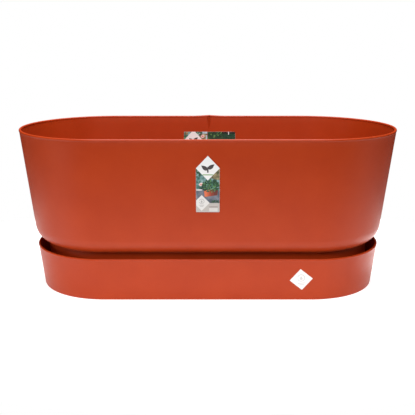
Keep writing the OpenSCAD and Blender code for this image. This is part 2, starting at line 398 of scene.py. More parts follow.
def card(name, colour, roughness=0.5):
    """Coated board: smooth, with paper fibre just showing."""
    f = Finish(name, Specular_IOR_Level=0.45)
    fibre = f.noise(0.35 * MM, detail=5, rough=0.7, stretch=(1, 1, 0.5))
    soft = f.noise(14 * MM, detail=3)
    shade = tuple(c * 0.94 for c in colour)
    f.paint(Base_Color=f.ramp(f.add(fibre, soft, 0.5), (0.45, shade), (1.0, colour)))
    f.paint(Roughness=f.remap(soft, 0.3, 0.7, roughness - 0.05, roughness + 0.06))
    return f.bump(fibre, 0.006 * MM).material


def printed(name, size, *tones, roughness=0.4):
    """Printed picture ground: tones blend softly into one another over patches of about size."""
    f = Finish(name, Specular_IOR_Level=0.45)
    patch = f.noise(size, detail=4, rough=0.55)
    steps = [(0.3 + 0.4 * i / max(1, len(tones) - 1), tone) for i, tone in enumerate(tones)]
    f.paint(Base_Color=f.ramp(patch, *steps))
    f.paint(Roughness=f.remap(patch, 0.2, 0.8, roughness, roughness + 0.08))
    return f.bump(f.noise(0.3 * MM, detail=3), 0.003 * MM).material


def gel(name):
    f = Finish(name, Transmission_Weight=0.6, IOR=1.42)
    cloud = f.noise(2 * MM, detail=3)
    f.paint(Base_Color=f.ramp(cloud, (0.3, (0.75, 0.72, 0.6)), (0.8, (0.92, 0.9, 0.82))))
    f.paint(Roughness=f.remap(cloud, 0.2, 0.8, 0.2, 0.4))
    return f.bump(cloud, 0.05 * MM).material


TERRACOTTA = plastic("terracotta_plastic", (0.385, 0.035, 0.0045), (0.43, 0.043, 0.006), 0.42)
CUP_PLASTIC = plastic("cup_plastic", (0.016, 0.017, 0.018), (0.034, 0.035, 0.037), 0.5)
PLUG_RUBBER = rubber("plug_rubber", (0.012, 0.012, 0.013))
WICK_FELT = felt("wick_felt", (0.34, 0.31, 0.25), (0.8, 0.77, 0.68))
GLUE = gel("glue_gel")
WHITE = card("card_white", (0.86, 0.86, 0.85))
OFF_WHITE = card("card_off_white", (0.74, 0.72, 0.7))
GREY_INK = card("ink_grey", (0.42, 0.4, 0.39))
PALE_INK = card("ink_pale", (0.62, 0.61, 0.61))
BAND = card("ink_band", (0.5, 0.46, 0.43))
BAND_LIGHT = card("ink_band_light", (0.66, 0.63, 0.6))
BROWN_INK = card("ink_brown", (0.2, 0.13, 0.11))
CHARCOAL = card("ink_charcoal", (0.06, 0.05, 0.05))
LEAF_INK = card("ink_leaf_green", (0.16, 0.34, 0.08))
GARDEN = printed("print_garden", 7 * MM, (0.012, 0.02, 0.014), (0.04, 0.13, 0.1), (0.2, 0.36, 0.36),
                 (0.5, 0.62, 0.6))
DRY_GRASS = printed("print_dry_grass", 4 * MM, (0.07, 0.08, 0.03), (0.22, 0.17, 0.09), (0.45, 0.42, 0.2))
SLATE = printed("print_slate", 9 * MM, (0.045, 0.055, 0.075), (0.11, 0.125, 0.16), (0.2, 0.21, 0.25))
NIGHT = printed("print_night", 6 * MM, (0.002, 0.002, 0.002), (0.008, 0.012, 0.008))
LAWN = printed("print_lawn", 2.5 * MM, (0.003, 0.02, 0.014), (0.008, 0.06, 0.03), (0.03, 0.1, 0.04))
SKY = printed("print_sky", 5 * MM, (0.25, 0.42, 0.5), (0.62, 0.74, 0.78))
POT_TONES = [
    printed("print_pot_lit", 3 * MM, (0.6, 0.12, 0.045), (0.74, 0.19, 0.08)),
    printed("print_pot_warm", 3 * MM, (0.46, 0.08, 0.03), (0.56, 0.11, 0.045)),
    printed("print_pot_mid", 3 * MM, (0.31, 0.048, 0.02), (0.38, 0.062, 0.026)),
    printed("print_pot_deep", 3 * MM, (0.2, 0.032, 0.016), (0.26, 0.04, 0.02)),
    printed("print_pot_shade", 3 * MM, (0.1, 0.018, 0.012), (0.15, 0.026, 0.016)),
]
PETAL = printed("print_petal", 1.5 * MM, (0.78, 0.5, 0.46), (0.88, 0.72, 0.68))
PETAL_DEEP = printed("print_petal_deep", 1.5 * MM, (0.6, 0.12, 0.1), (0.75, 0.25, 0.2))
GREENS = [
    printed("print_green_deep", 1.2 * MM, (0.008, 0.03, 0.014), (0.02, 0.07, 0.03)),
    printed("print_green_mid", 1.2 * MM, (0.015, 0.065, 0.025), (0.035, 0.12, 0.045)),
    printed("print_green_light", 1.2 * MM, (0.08, 0.2, 0.06), (0.16, 0.34, 0.1)),
    printed("print_green_sea", 1.2 * MM, (0.03, 0.13, 0.08), (0.09, 0.26, 0.17)),
]


# ---- Tray ----

def water_slots(z0, z1):
    """Slots through the skirt and the ridge that let the water in, as boxes that don't touch."""
    depth = 12 * MM
    made = []
    for i in range(-4, 4):
        for side in (-1, 1):
            x, y = (i + 0.5) * SLOT_PITCH, side * (SKIRT_R - SKIRT_WALL)
            made.append(box_mesh((x - SLOT_W / 2, y - depth / 2, z0), (x + SLOT_W / 2, y + depth / 2, z1)))
    for side in (-1, 1):
        x = side * (END_X + SKIRT_R - SKIRT_WALL)
        made.append(box_mesh((x - depth / 2, -SLOT_W / 2, z0), (x + depth / 2, SLOT_W / 2, z1)))
    return made


def make_tray():
    floor = TRAY_FOOT + TRAY_WALL
    sink = 0.5 * MM
    ridge_r = SKIRT_R - SKIRT_WALL - 0.6 * MM
    ridge_top = floor + 5 * MM
    bar_w, bar_len, bar_pitch = 4 * MM, 184 * MM, 80 * MM
    ridge = as_object("ridge", ring_of(ridge_r, 2 * MM, floor - sink, ridge_top))
    combine(ridge, water_slots(floor, ridge_top + 1 * MM), "DIFFERENCE")
    cut_ridge = bmesh.new()
    cut_ridge.from_mesh(ridge.data)
    bpy.data.objects.remove(ridge)
    bars = [
        box_mesh((x - bar_w / 2, -bar_len / 2, 0), (x + bar_w / 2, bar_len / 2, TRAY_FOOT + sink))
        for x in (i * bar_pitch for i in range(-2, 3))
    ]
    edge = 0.8 * MM
    boss_in, boss_r = 106.5 * MM, 10 * MM
    boss = turned(
        [(0, boss_in), (boss_r, boss_in), (boss_r, DRAIN_FACE_Y - edge)]
        + arc(boss_r - edge, DRAIN_FACE_Y - edge, edge, 0, 90, 4)[1:] + [(0, DRAIN_FACE_Y)],
        Vector((0, 0, DRAIN_Z)), axis="Y",
    )
    bore = turned(
        [(0, boss_in - MM), (6 * MM, boss_in - MM), (6 * MM, DRAIN_FACE_Y + MM), (0, DRAIN_FACE_Y + MM)],
        Vector((0, 0, DRAIN_Z)), axis="Y",
    )
    tray = as_object("saucer_shell", shell(tray_section()))
    combine(tray, [cut_ridge, *bars, boss], "UNION")
    combine(tray, [bore], "DIFFERENCE")
    return finished(tray, [TERRACOTTA], "saucer", "reservoir_saucer")


def make_plug():
    """Soft drain plug: mushroom head, ribbed shank and a tab with finger ridges."""
    head_r, head_t = 8.5 * MM, 2.5 * MM
    shank_r, shank = 5.92 * MM, 9.5 * MM
    soft = 0.9 * MM
    section = [(0, DRAIN_FACE_Y - shank), (shank_r - 1.2 * MM, DRAIN_FACE_Y - shank)]
    for i in range(3):
        y = DRAIN_FACE_Y - shank + (0.9 + 2.7 * i) * MM
        section += [(shank_r - 0.5 * MM, y - 0.5 * MM), (shank_r, y + 0.3 * MM), (shank_r, y + 0.9 * MM)]
        section += [(shank_r - 0.5 * MM, y + 1.5 * MM)]
    section += [(shank_r - 0.5 * MM, DRAIN_FACE_Y), (head_r - 0.3 * MM, DRAIN_FACE_Y)]
    section += arc(head_r - soft, DRAIN_FACE_Y + head_t - soft, soft, 0, 90, 6)
    section += [(0, DRAIN_FACE_Y + head_t)]
    plug = as_object("drain_plug_body", turned(section, Vector((0, 0, DRAIN_Z)), axis="Y", steps=64))
    tab_w, tab_t, tab_len = 10 * MM, 3 * MM, 9 * MM
    y0, y1 = DRAIN_FACE_Y + head_t - 0.5 * MM, DRAIN_FACE_Y + head_t + tab_len
    tab = box_mesh((-tab_w / 2, y0, DRAIN_Z - tab_t / 2), (tab_w / 2, y1, DRAIN_Z + tab_t / 2))
    far_edges = [e for e in tab.edges if all(v.co.y > y1 - MM for v in e.verts)]
    side_edges = [e for e in tab.edges if abs(e.verts[0].co.y - e.verts[1].co.y) > MM]
    round_edges(tab, far_edges + side_edges, 1.0 * MM)
    combine(plug, [tab], "UNION")
    ridges = []
    for i in range(3):
        y = y0 + (3.2 + 2.2 * i) * MM
        for side in (-1, 1):
            z = DRAIN_Z + side * tab_t / 2
            ridges.append(box_mesh((-3.2 * MM, y, z - 0.25 * MM), (3.2 * MM, y + 0.9 * MM, z + 0.25 * MM)))
    combine(plug, ridges, "UNION")
    return finished(plug, [PLUG_RUBBER], "plug", "drain_plug")


# ---- Trough ----

def moulded(point):
    """Small marks that moulding leaves on the trough at its stacking ribs.

    The back rim stands a little high there, and the front wall has a shallow sink line under its rim.
    """
    rise, rise_reach = 1.3 * MM, 26 * MM
    sink_depth, sink_reach, sink_start = 0.16 * MM, 1.6 * MM, 3 * MM
    off = abs(point.x - RIB_X)
    below = TROUGH_TOP - point.z
    if point.y > 0 and below < RIB_LEN:
        peak = max(0.0, 1 - off / rise_reach) ** 1.3
        return point + Vector((0, 0, rise * peak * (1 - below / RIB_LEN)))
    if point.y < -trough_in_r(point.z) - TROUGH_WALL / 2 and sink_start < below < RIB_LEN:
        depth = sink_depth * math.exp(-((off / sink_reach) ** 2)) * (1 - below / RIB_LEN)
        return point + Vector((0, depth, 0))
    return point


def stacking_rib(side):
    """A rib with a narrow flat face and sloping flanks, which runs out to a point down the wall."""
    top = TROUGH_TOP - RIB_DROP
    rows = 12
    face, foot, sunk, back_lift = 1.4 * MM, 2.6 * MM, 0.6 * MM, 0.9 * MM
    bm = bmesh.new()
    rings = []
    for i in range(rows + 1):
        t = i / rows
        z = top - RIB_LEN * t
        wall = trough_in_r(z)
        out = RIB_STAND * (1 - t) + 0.02 * MM
        taper = 1 - 0.75 * t ** 1.4
        profile = [(foot, -sunk), (foot, 0), (face, 1), (-face, 1)]
        profile += [(-foot, 0), (-foot, -sunk)]
        ring = []
        for x, stand in profile:
            reach = stand * out if stand >= 0 else stand
            ring.append(Vector((RIB_X + x * taper, side * (wall - reach), z)))
        rings.append(ring)
    made = join_rings(bm, rings)
    bm.faces.new(made[0])
    bm.faces.new(made[-1])
    if side > 0:
        bm.transform(Matrix.Translation((0, 0, back_lift)))
    return bm


def make_trough():
    collar_wall, collar_h = 2.4 * MM, 9 * MM
    rib_w, rib_h, sink = 2 * MM, 10 * MM, 0.5 * MM
    cup_pitch = CUP_X[1] - CUP_X[0]
    reach = SKIRT_R - SKIRT_WALL / 2
    drain_ys = [-70 * MM, -45 * MM, 45 * MM, 70 * MM]
    collars = [
        rod(CUP_HOLE_R + collar_wall, (x, 0), UNDER_FLOOR - collar_h, UNDER_FLOOR + sink)
        for x in CUP_X
    ]
    ribs = [
        box_mesh((x - rib_w / 2, -reach, UNDER_FLOOR - rib_h), (x + rib_w / 2, reach, UNDER_FLOOR + sink))
        for x in (-cup_pitch, 0, cup_pitch)
    ]
    holes = [rod(CUP_HOLE_R, (x, 0), UNDER_FLOOR - collar_h - MM, FLOOR + MM, 96) for x in CUP_X]
    holes += [rod(2 * MM, (x, y), UNDER_FLOOR - MM, FLOOR + MM, 24) for x in CUP_X for y in drain_ys]
    trough = as_object("trough_shell", shell(trough_section(), moulded))
    combine(trough, [*collars, *ribs], "UNION")
    combine(trough, [stacking_rib(-1), stacking_rib(1)], "UNION")
    notch_r, notch_far = 1.1 * MM, TROUGH_R - 0.9 * MM
    notch = turned([(0, -4 * MM), (notch_r, -4 * MM), (notch_r, 0), (0, 0)],
                   Vector((RIB_X, notch_far, TROUGH_TOP - 0.6 * MM)), axis="Y", steps=24)
    combine(trough, [*holes, *water_slots(TRAY_FLOOR - MM, TRAY_FLOOR + SLOT_H), notch], "DIFFERENCE")
    return finished(trough, [TERRACOTTA], "trough", "planter_trough")


# ---- Wick cups ----

def make_cup(index, x):
    """Perforated cup: flange, tapered wall with upright slots, and a floor with six holes."""
    lo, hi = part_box(f"wick_cup_{index}")
    wall, foot_r, neck_r = CUP_WALL, CUP_FOOT_R, CUP_NECK_R
    flange_r = (hi.x - lo.x) / 2
    neck_z = FLOOR - CUP_NECK_H
    soft = 0.7 * MM
    section = [(0, lo.z)] + arc(foot_r - soft, lo.z + soft, soft, -90, 0, 4)
    section += line(section[-1], (neck_r, neck_z), 6) + [(neck_r, neck_z), (neck_r, FLOOR), (flange_r, FLOOR)]
    section += arc(flange_r - soft, hi.z - soft, soft, 0, 90, 4)
    section += arc(neck_r - wall + soft, hi.z - soft, soft, 90, 180, 4)
    section += [(neck_r - wall, neck_z), (foot_r - wall, lo.z + wall), (0, lo.z + wall)]
    cup = as_object(f"wick_cup_body_{index}", turned(section, Vector((x, 0, 0))))
    slot_z, slots = lo.z + 8 * MM, 10
    cutters = []
    for i in range(slots):
        slot = box_mesh((foot_r / 2, -1.5 * MM, slot_z), (foot_r / 2 + CUP_HOLE_R, 1.5 * MM, neck_z - 4 * MM))
        upright = [e for e in slot.edges if abs(e.verts[0].co.x - e.verts[1].co.x) > MM]
        round_edges(slot, upright, 1.3 * MM)
        turn = Matrix.Rotation(2 * math.pi * (i + 0.5) / slots, 4, "Z")
        slot.transform(Matrix.Translation((x, 0, 0)) @ turn)
        cutters.append(slot)
    for i in range(6):
        a = math.pi * i / 3
        place = (x + foot_r / 2 * math.cos(a), foot_r / 2 * math.sin(a))
        cutters.append(rod(2 * MM, place, lo.z - MM, lo.z + 3 * MM, 20))
    combine(cup, cutters, "DIFFERENCE")
    return finished(cup, [CUP_PLASTIC], f"cup_{index}", f"wick_cup_{index}")


def wick_path(cup_lo):
    """The felt's lower face in section, from the cup's middle out to the strip's end, as (x, z) pairs."""
    half_w, gap = 10 * MM, 0.5 * MM

    def chord(r):
        return math.sqrt(r * r - half_w * half_w)

    foot = cup_lo.z + CUP_WALL + gap
    foot_x = chord(CUP_FOOT_R - CUP_WALL - gap)
    neck_x = chord(CUP_NECK_R - CUP_WALL - gap)
    over = FLOOR + CUP_FLANGE_T + gap
    flange_x = 32 * MM
    return [(0, foot), (foot_x, foot), (neck_x, FLOOR - CUP_NECK_H), (neck_x, over), (flange_x, over),
            (flange_x + 4 * MM, FLOOR + gap), (53 * MM, FLOOR + gap)]


def rounded_path(points, radius, steps):
    """A polyline with its corners rounded, and points every few millimetres on the straights."""
    made = [Vector(points[0])]
    for a, b, c in zip(points, points[1:], points[2:]):
        a, b, c = Vector(a), Vector(b), Vector(c)
        cut = min(radius, (a - b).length * 0.45, (c - b).length * 0.45)
        start, end = b + (a - b).normalized() * cut, b + (c - b).normalized() * cut
        for t in (i / steps for i in range(steps + 1)):
            made.append((1 - t) ** 2 * start + 2 * t * (1 - t) * b + t * t * end)
    made.append(Vector(points[-1]))
    dense = [made[0]]
    for p, q in zip(made, made[1:]):
        count = max(1, round((q - p).length / (1.5 * MM)))
        dense += [p.lerp(q, (i + 1) / count) for i in range(count)]
    return dense


def make_wick(index, x):
    """Felt strip through the cup: its ends lie on the trough's floor, and its edges are a little ragged."""
    lo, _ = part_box(f"wick_cup_{index}")
    thick, half_w, across = 2.9 * MM, 10 * MM, 12
    rng = random.Random(40 + index)
    half = rounded_path(wick_path(lo), 3 * MM, 5)
    path = [Vector((-p.x, p.y)) for p in reversed(half[1:])] + half
    phase = rng.uniform(0, 6)
    rings = []
    for i, p in enumerate(path):
        ahead = path[min(i + 1, len(path) - 1)] - path[max(i - 1, 0)]
        inward = Vector((-ahead.y, ahead.x)).normalized()
        ragged = 0.35 * MM * math.sin(i * 1.7 + phase) + rng.uniform(-0.15, 0.15) * MM
        tuck = 0.12 * MM * math.sin(i * 0.6 + phase)
        ring = []
        for k in range(2 * across):
            a = 2 * math.pi * k / (2 * across)
            s, c = math.sin(a), math.cos(a)
            y = (half_w - 0.4 * MM + ragged) * math.copysign(abs(c) ** 0.35, c)
            h = thick / 2 * (1 + math.copysign(abs(s) ** 0.5, s)) + 0.05 * MM + tuck * (s > 0)
            q = p + inward * h
            ring.append(Vector((x + q.x, y, q.y)))
        rings.append(ring)
    bm = bmesh.new()
    made = join_rings(bm, rings)
    bm.faces.new(made[0])
    bm.faces.new(made[-1])
    wick = as_object(f"felt_wick_{index}", bm)
    finished(wick, [WICK_FELT], f"cup_{index}", f"capillary_wick_{index}", sharp=60)
    return wick


# ---- Printed card ----

class Print:
    """A printed card: a plain board with inks on its face, each a thin solid of its own shape."""

    def __init__(self, name, place):
        self.name = name
        self.place = place
        self.bm = bmesh.new()
        self.materials = []

    def solid(self, outline, z0, z1, material):
        if material not in self.materials:
            self.materials.append(material)
        index = self.materials.index(material)
        low = [self.bm.verts.new(self.place @ Vector((x, y, z0))) for x, y in outline]
        high = [self.bm.verts.new(self.place @ Vector((x, y, z1))) for x, y in outline]
        count = len(outline)
        faces = [self.bm.faces.new(list(reversed(low))), self.bm.faces.new(high)]
        for i in range(count):
            j = (i + 1) % count
            faces.append(self.bm.faces.new((low[i], low[j], high[j], high[i])))
        for face in faces:
            face.material_index = index

    def board(self, outline, thickness, material):
        self.top = thickness
        self.solid(outline, 0, thickness, material)

    def ink(self, outline, material, layer, window=None):
        """Prints one shape. A higher layer covers a lower one. window cuts it to (x0, y0, x1, y1)."""
        if window:
            outline = cropped(outline, window)
        if len(outline) > 2:
            self.solid(outline, self.top - INK, self.top + INK * layer, material)

    def done(self, body, node):
        obj = as_object(self.name, self.bm)
        return finished(obj, self.materials, body, node, sharp=20)


def cropped(outline, window):
    """The part of an outline inside a rectangle."""
    x0, y0, x1, y1 = window
    sides = [(0, x0, 1), (0, x1, -1), (1, y0, 1), (1, y1, -1)]
    for axis, limit, sign in sides:
        kept = []
        for p, q in zip(outline, outline[1:] + outline[:1]):
            p_in, q_in = sign * (p[axis] - limit) >= 0, sign * (q[axis] - limit) >= 0
            if p_in:
                kept.append(p)
            if p_in != q_in:
                t = (limit - p[axis]) / (q[axis] - p[axis])
                kept.append((p[0] + t * (q[0] - p[0]), p[1] + t * (q[1] - p[1])))
        outline = kept
    return outline


def rectangle(x0, y0, x1, y1, corner=0.0):
    """A rectangle, with rounded corners if asked."""
    if not corner:
        return [(x0, y0), (x1, y0), (x1, y1), (x0, y1)]
    turns = [(x1 - corner, y0 + corner, -90), (x1 - corner, y1 - corner, 0),
             (x0 + corner, y1 - corner, 90), (x0 + corner, y0 + corner, 180)]
    return [p for cx, cy, start in turns for p in arc(cx, cy, corner, start, start + 90, 5)]


def diamond(x, y, half_w, half_h):
    return [(x, y - half_h), (x + half_w, y), (x, y + half_h), (x - half_w, y)]


def oval(x, y, rx, ry, steps=24):
    turns = [2 * math.pi * i / steps for i in range(steps)]
    return [(x + rx * math.cos(a), y + ry * math.sin(a)) for a in turns]


def leaf(x, y, length, width, turn, steps=5):
    """A pointed leaf that starts at (x, y) and grows in direction turn."""
    ts = [i / steps for i in range(steps + 1)]
    right = [(t * length, width / 2 * math.sin(math.pi * t ** 0.8)) for t in ts]
    left = [(t * length, -width / 2 * math.sin(math.pi * t ** 0.8)) for t in reversed(ts[1:-1])]
    c, s = math.cos(turn), math.sin(turn)
    return [(x + a * c - b * s, y + a * s + b * c) for a, b in right + left]


def drop(x, y, size):
    """A water drop, point up."""
    low = arc(x, y - size * 0.18, size * 0.32, 150, 390, 16)
    return low + [(x, y + size * 0.5)]


def hoop(x, y, r, width, start, end, steps=20):
    """Part of a ring, as an outline."""
    return arc(x, y, r, start, end, steps) + arc(x, y, r - width, end, start, steps)


def plant_mark(card_print, x, y, size, layer):
    """A generic sprig of two leaves on a stem, over a short green bar."""
    low_half, high_half = 0.07 * size, 0.042 * size
    low, high = y - size * 0.42, y + size * 0.1
    stem = [(x - low_half, low), (x + low_half, low), (x + high_half, high), (x - high_half, high)]
    bar = rectangle(x - size * 0.45, y - size * 0.66, x + size * 0.45, y - size * 0.58)
    card_print.ink(stem, CHARCOAL, layer)
    card_print.ink(leaf(x, y - size * 0.12, size * 0.72, size * 0.36, math.radians(38)), CHARCOAL, layer + 1)
    card_print.ink(leaf(x, y - size * 0.22, size * 0.72, size * 0.36, math.radians(142)), CHARCOAL, layer + 1)
    card_print.ink(bar, LEAF_INK, layer)


def water_mark(card_print, x, y, size, layer, ink):
    """A generic water drop in an open ring, over two short bars."""
    card_print.ink(drop(x, y + size * 0.12, size * 0.5), ink, layer)
    card_print.ink(hoop(x, y + size * 0.12, size * 0.46, size * 0.09, 200, 520), ink, layer)
    for i, half in enumerate((0.42, 0.28)):
        top = y - size * (0.5 + 0.2 * i)
        card_print.ink(rectangle(x - size * half, top - size * 0.09, x + size * half, top), ink, layer)


def foliage(card_print, rng, centre, spread, count, length, layer, window, greens=GREENS):
    """A bush of leaves that grow out from its middle, darker ones behind."""
    for i in range(count):
        a = rng.uniform(0, 2 * math.pi)
        d = math.sqrt(rng.random())
        x, y = centre[0] + spread[0] * d * math.cos(a), centre[1] + spread[1] * d * math.sin(a)
        size = length * rng.uniform(0.7, 1.3)
        turn = math.atan2(y - centre[1] + 0.6 * spread[1], x - centre[0]) + rng.uniform(-0.7, 0.7)
        shade = greens[0] if i < count * 0.35 else rng.choice(greens)
        card_print.ink(leaf(x, y, size, size * 0.45, turn), shade, layer + 2 * i / count, window)


def flower(card_print, x, y, size, layer, window):
    for i in range(6):
        a = 2 * math.pi * i / 6
        wide = size * (0.36 + 0.1 * math.sin(2.3 * i))
        petal = oval(x + size * 0.45 * math.cos(a), y + size * 0.4 * math.sin(a), wide, size * 0.36, 14)
        card_print.ink(petal, PETAL, layer + 0.1 * i, window)
    card_print.ink(oval(x, y, size * 0.34, size * 0.3, 14), PETAL_DEEP, layer + 0.8, window)


def planted_trough(card_print, rng, x0, x1, top, drop_h, layer, window):
    """A picture of a planted trough: lit at its left end, in shade at its right."""
    shift = 0.07 * (x1 - x0)
    edges = [0.0, 0.24, 0.38, 0.52, 0.72, 1.0]
    for a, b, material in zip(edges, edges[1:], POT_TONES):
        xa, xb = x0 + a * (x1 - x0), x0 + b * (x1 - x0)
        la = x0 + shift + a * (x1 - x0 - 1.6 * shift)
        lb = x0 + shift + b * (x1 - x0 - 1.6 * shift)
        low_a, low_b = (top - drop_h + 0.22 * drop_h * t for t in (a, b))
        card_print.ink([(la, low_a), (lb, low_b), (xb, top), (xa, top)], material, layer, window)
    middle = ((x0 + x1) / 2, top + 0.45 * drop_h)
    shades = [GREENS[0], GREENS[0], GREENS[1], GREENS[0], GREENS[3], GREENS[2]]
    spread = (0.56 * (x1 - x0), 0.72 * drop_h)
    foliage(card_print, rng, middle, spread, 260, 0.28 * drop_h, layer + 1, window, shades)


def wall_place(node, inside, thickness):
    """Puts (across, up, out) on a card's back face; the origin is its lower left corner."""
    lo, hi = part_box(node)
    s, c = math.sin(DRAFT), math.cos(DRAFT)
    if inside:
        origin, up, out = Vector((lo.x, lo.y + thickness * c, lo.z)), Vector((0, s, c)), Vector((0, -c, s))
    else:
        origin, up, out = Vector((lo.x, hi.y, lo.z + thickness * s)), Vector((0, -s, c)), Vector((0, -c, -s))
    place = Matrix((Vector((1, 0, 0)), up, out)).transposed().to_4x4()
    return Matrix.Translation(origin) @ place


def garden_scene(card_print, rng, width, y0, y1, pot_left, layer, window):
    """Ground for a picture: blurred garden, dry grass at the right, a slate table below."""
    card_print.ink(rectangle(0, y0, width, y1), GARDEN, layer, window)
    card_print.ink([(width * 0.66, y1), (width, y1), (width, y0 + (y1 - y0) * 0.66),
                    (width * 0.62, y0 + (y1 - y0) * 0.72)], DRY_GRASS, layer + 1, window)
    table = y0 + (y1 - y0) * 0.36
    card_print.ink([(0, y0), (width, y0), (width, table), (0, table + 1.5 * MM)], SLATE, layer + 1, window)
    card_print.ink(oval(width * 0.13, table + 1.2 * MM, 5 * MM, 1.3 * MM), PALE_INK, layer + 2, window)
    planted_trough(card_print, rng, pot_left, width * 0.93, table + 1.6 * MM, 11 * MM, layer + 3, window)


def make_front_label():
    lo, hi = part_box("front_label")
    width = hi.x - lo.x
    height = (hi.z - lo.z - CARD_T * math.sin(DRAFT)) / math.cos(DRAFT)
    half, shoulder, corner = width / 2, height - width / 2 - 1.3 * MM, 0.8 * MM
    made = Print("front_label_card", wall_place("front_label", False, CARD_T))
    foot = arc(width - corner, corner, corner, -90, 0, 4)
    foot_left = arc(corner, corner, corner, 180, 270, 4)
    made.board(foot + [(width, shoulder), (half, height), (0, shoulder)] + foot_left, CARD_T, WHITE)
    rng = random.Random(7)
    edge, band_top = 0.15 * MM, 14.2 * MM
    window = (edge, band_top, width - edge, shoulder - 0.2 * MM)
    garden_scene(made, rng, width, 14 * MM, shoulder, 11.1 * MM, 1, window)
    flower(made, 7.2 * MM, 42.5 * MM, 3.6 * MM, 4, window)
    foliage(made, rng, (28 * MM, 15 * MM), (6 * MM, 2 * MM), 40, 2.5 * MM, 4, window, GREENS[:2])
    foliage(made, rng, (2.5 * MM, shoulder - 6 * MM), (3 * MM, 6 * MM), 26, 3.5 * MM, 4, window, GREENS[:2])
    band = (edge, edge, width - edge, band_top)
    bar_left, bar_right = 19 * MM, 31.3 * MM
    mark_x = 8.1 * MM
    made.ink(rectangle(*band, 0.7 * MM), BAND, 6)
    made.ink(rectangle(bar_left, 7.7 * MM, bar_right, 8.6 * MM), BROWN_INK, 7, band)
    made.ink(rectangle(bar_left, 1.2 * MM, bar_right, 6.6 * MM), BAND_LIGHT, 7, band)
    whole = (edge, edge, width - edge, height)
    made.ink(diamond(mark_x, 14.3 * MM, 11.5 * MM, 12.1 * MM), OFF_WHITE, 8, whole)
    water_mark(made, mark_x, 15.6 * MM, 8.6 * MM, 9, GREY_INK)
    made.ink(diamond(half, shoulder, half - 0.05 * MM, 18.2 * MM), WHITE, 8)
    plant_mark(made, half, shoulder + 0.5 * MM, 16.5 * MM, 9)
    return made.done("trough", "front_label")


def make_leaflet_cover():
    lo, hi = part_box("care_leaflet_cover")
    width = hi.x - lo.x
    height = (hi.z - lo.z - CARD_T * math.sin(DRAFT)) / math.cos(DRAFT)
    made = Print("leaflet_cover_card", wall_place("care_leaflet_cover", True, CARD_T))
    outline = [(0, 0), (width, 0), (width, height)] + arc(1.6 * MM, height - 1.6 * MM, 1.6 * MM, 90, 180, 5)
    made.board(outline, CARD_T, WHITE)
    rng = random.Random(11)
    edge = 0.12 * MM
    window = (edge, 16 * MM, width, height - edge)
    made.ink(cropped(outline, window), GARDEN, 1)
    garden_scene(made, rng, width, 16 * MM, height - 4 * MM, 12 * MM, 2, window)
    made.ink(rectangle(1.2 * MM, height - 5 * MM, 7 * MM, height - 0.3 * MM), DRY_GRASS, 5, window)
    made.ink(rectangle(32.5 * MM, height - 3.4 * MM, width, height), SKY, 5, window)
    made.ink(rectangle(38.5 * MM, height - 14 * MM, width, height - 6 * MM), SKY, 5, window)
    foliage(made, rng, (25 * MM, height - 4 * MM), (5 * MM, 4 * MM), 26, 4 * MM, 6, window)
    foliage(made, rng, (3.5 * MM, height - 12 * MM), (3 * MM, 5 * MM), 22, 3 * MM, 6, window)
    flower(made, 33 * MM, height - 8 * MM, 4.2 * MM, 9, window)
    made.ink(rectangle(edge, edge, width, 16.2 * MM), BAND, 6)
    for i in range(4):
        y, far_end = (3 + 3 * i) * MM, (34 - 5 * (i % 2)) * MM
        made.ink(rectangle(4 * MM, y, far_end, y + 0.9 * MM), BAND_LIGHT, 7)
    made.ink(diamond(16.7 * MM, height - 14.8 * MM, 16.4 * MM, 18.3 * MM), WHITE, 10, window)
    plant_mark(made, 16.7 * MM, height - 14.5 * MM, 14 * MM, 11)
    return made.done("trough", "care_leaflet_cover")


def make_leaflet_back():
    lo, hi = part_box("care_leaflet_back")
    width = hi.x - lo.x
    height = (hi.z - lo.z - CARD_T * math.sin(DRAFT)) / math.cos(DRAFT)
    made = Print("leaflet_back_card", wall_place("care_leaflet_back", True, CARD_T))
    corner = 1.6 * MM
    outline = [(0, 0), (width, 0)] + arc(width - corner, height - corner, corner, 0, 90, 5) + [(0, height)]
    made.board(outline, CARD_T, WHITE)
    rng = random.Random(23)
    edge = 0.12 * MM
    window = (0, 42 * MM, width - edge, height - edge)
    made.ink(cropped(outline, window), NIGHT, 1)
    made.ink(rectangle(25 * MM, 42 * MM, width, height - 3.2 * MM), LAWN, 2, window)
    made.ink(rectangle(36.2 * MM, height - 5.2 * MM, 37.6 * MM, height), WHITE, 3, window)
    dark_bush = [GREENS[0], GREENS[0], GREENS[1], GREENS[2]]
    foliage(made, rng, (12 * MM, height - 14 * MM), (14 * MM, 16 * MM), 170, 8 * MM, 3, window, dark_bush)
    foliage(made, rng, (38 * MM, height - 26 * MM), (12 * MM, 12 * MM), 120, 4 * MM, 3, window, dark_bush)
    panel = (0, edge, width - edge, 42 * MM)
    made.ink(rectangle(0, edge, width - edge, 42 * MM), OFF_WHITE, 3)
    for i in range(3):
        water_mark(made, (9 + 15.5 * i) * MM, 33 * MM, 7.5 * MM, 4, (LEAF_INK, GREY_INK, BROWN_INK)[i])
    for row in range(7):
        y, far_end = (3.5 + 3 * row) * MM, width - (8 + 9 * (row % 3)) * MM
        made.ink(rectangle(4 * MM, y, far_end, y + 0.8 * MM), GREY_INK, 4, panel)
    return made.done("leaflet_leaf", "care_leaflet_back")


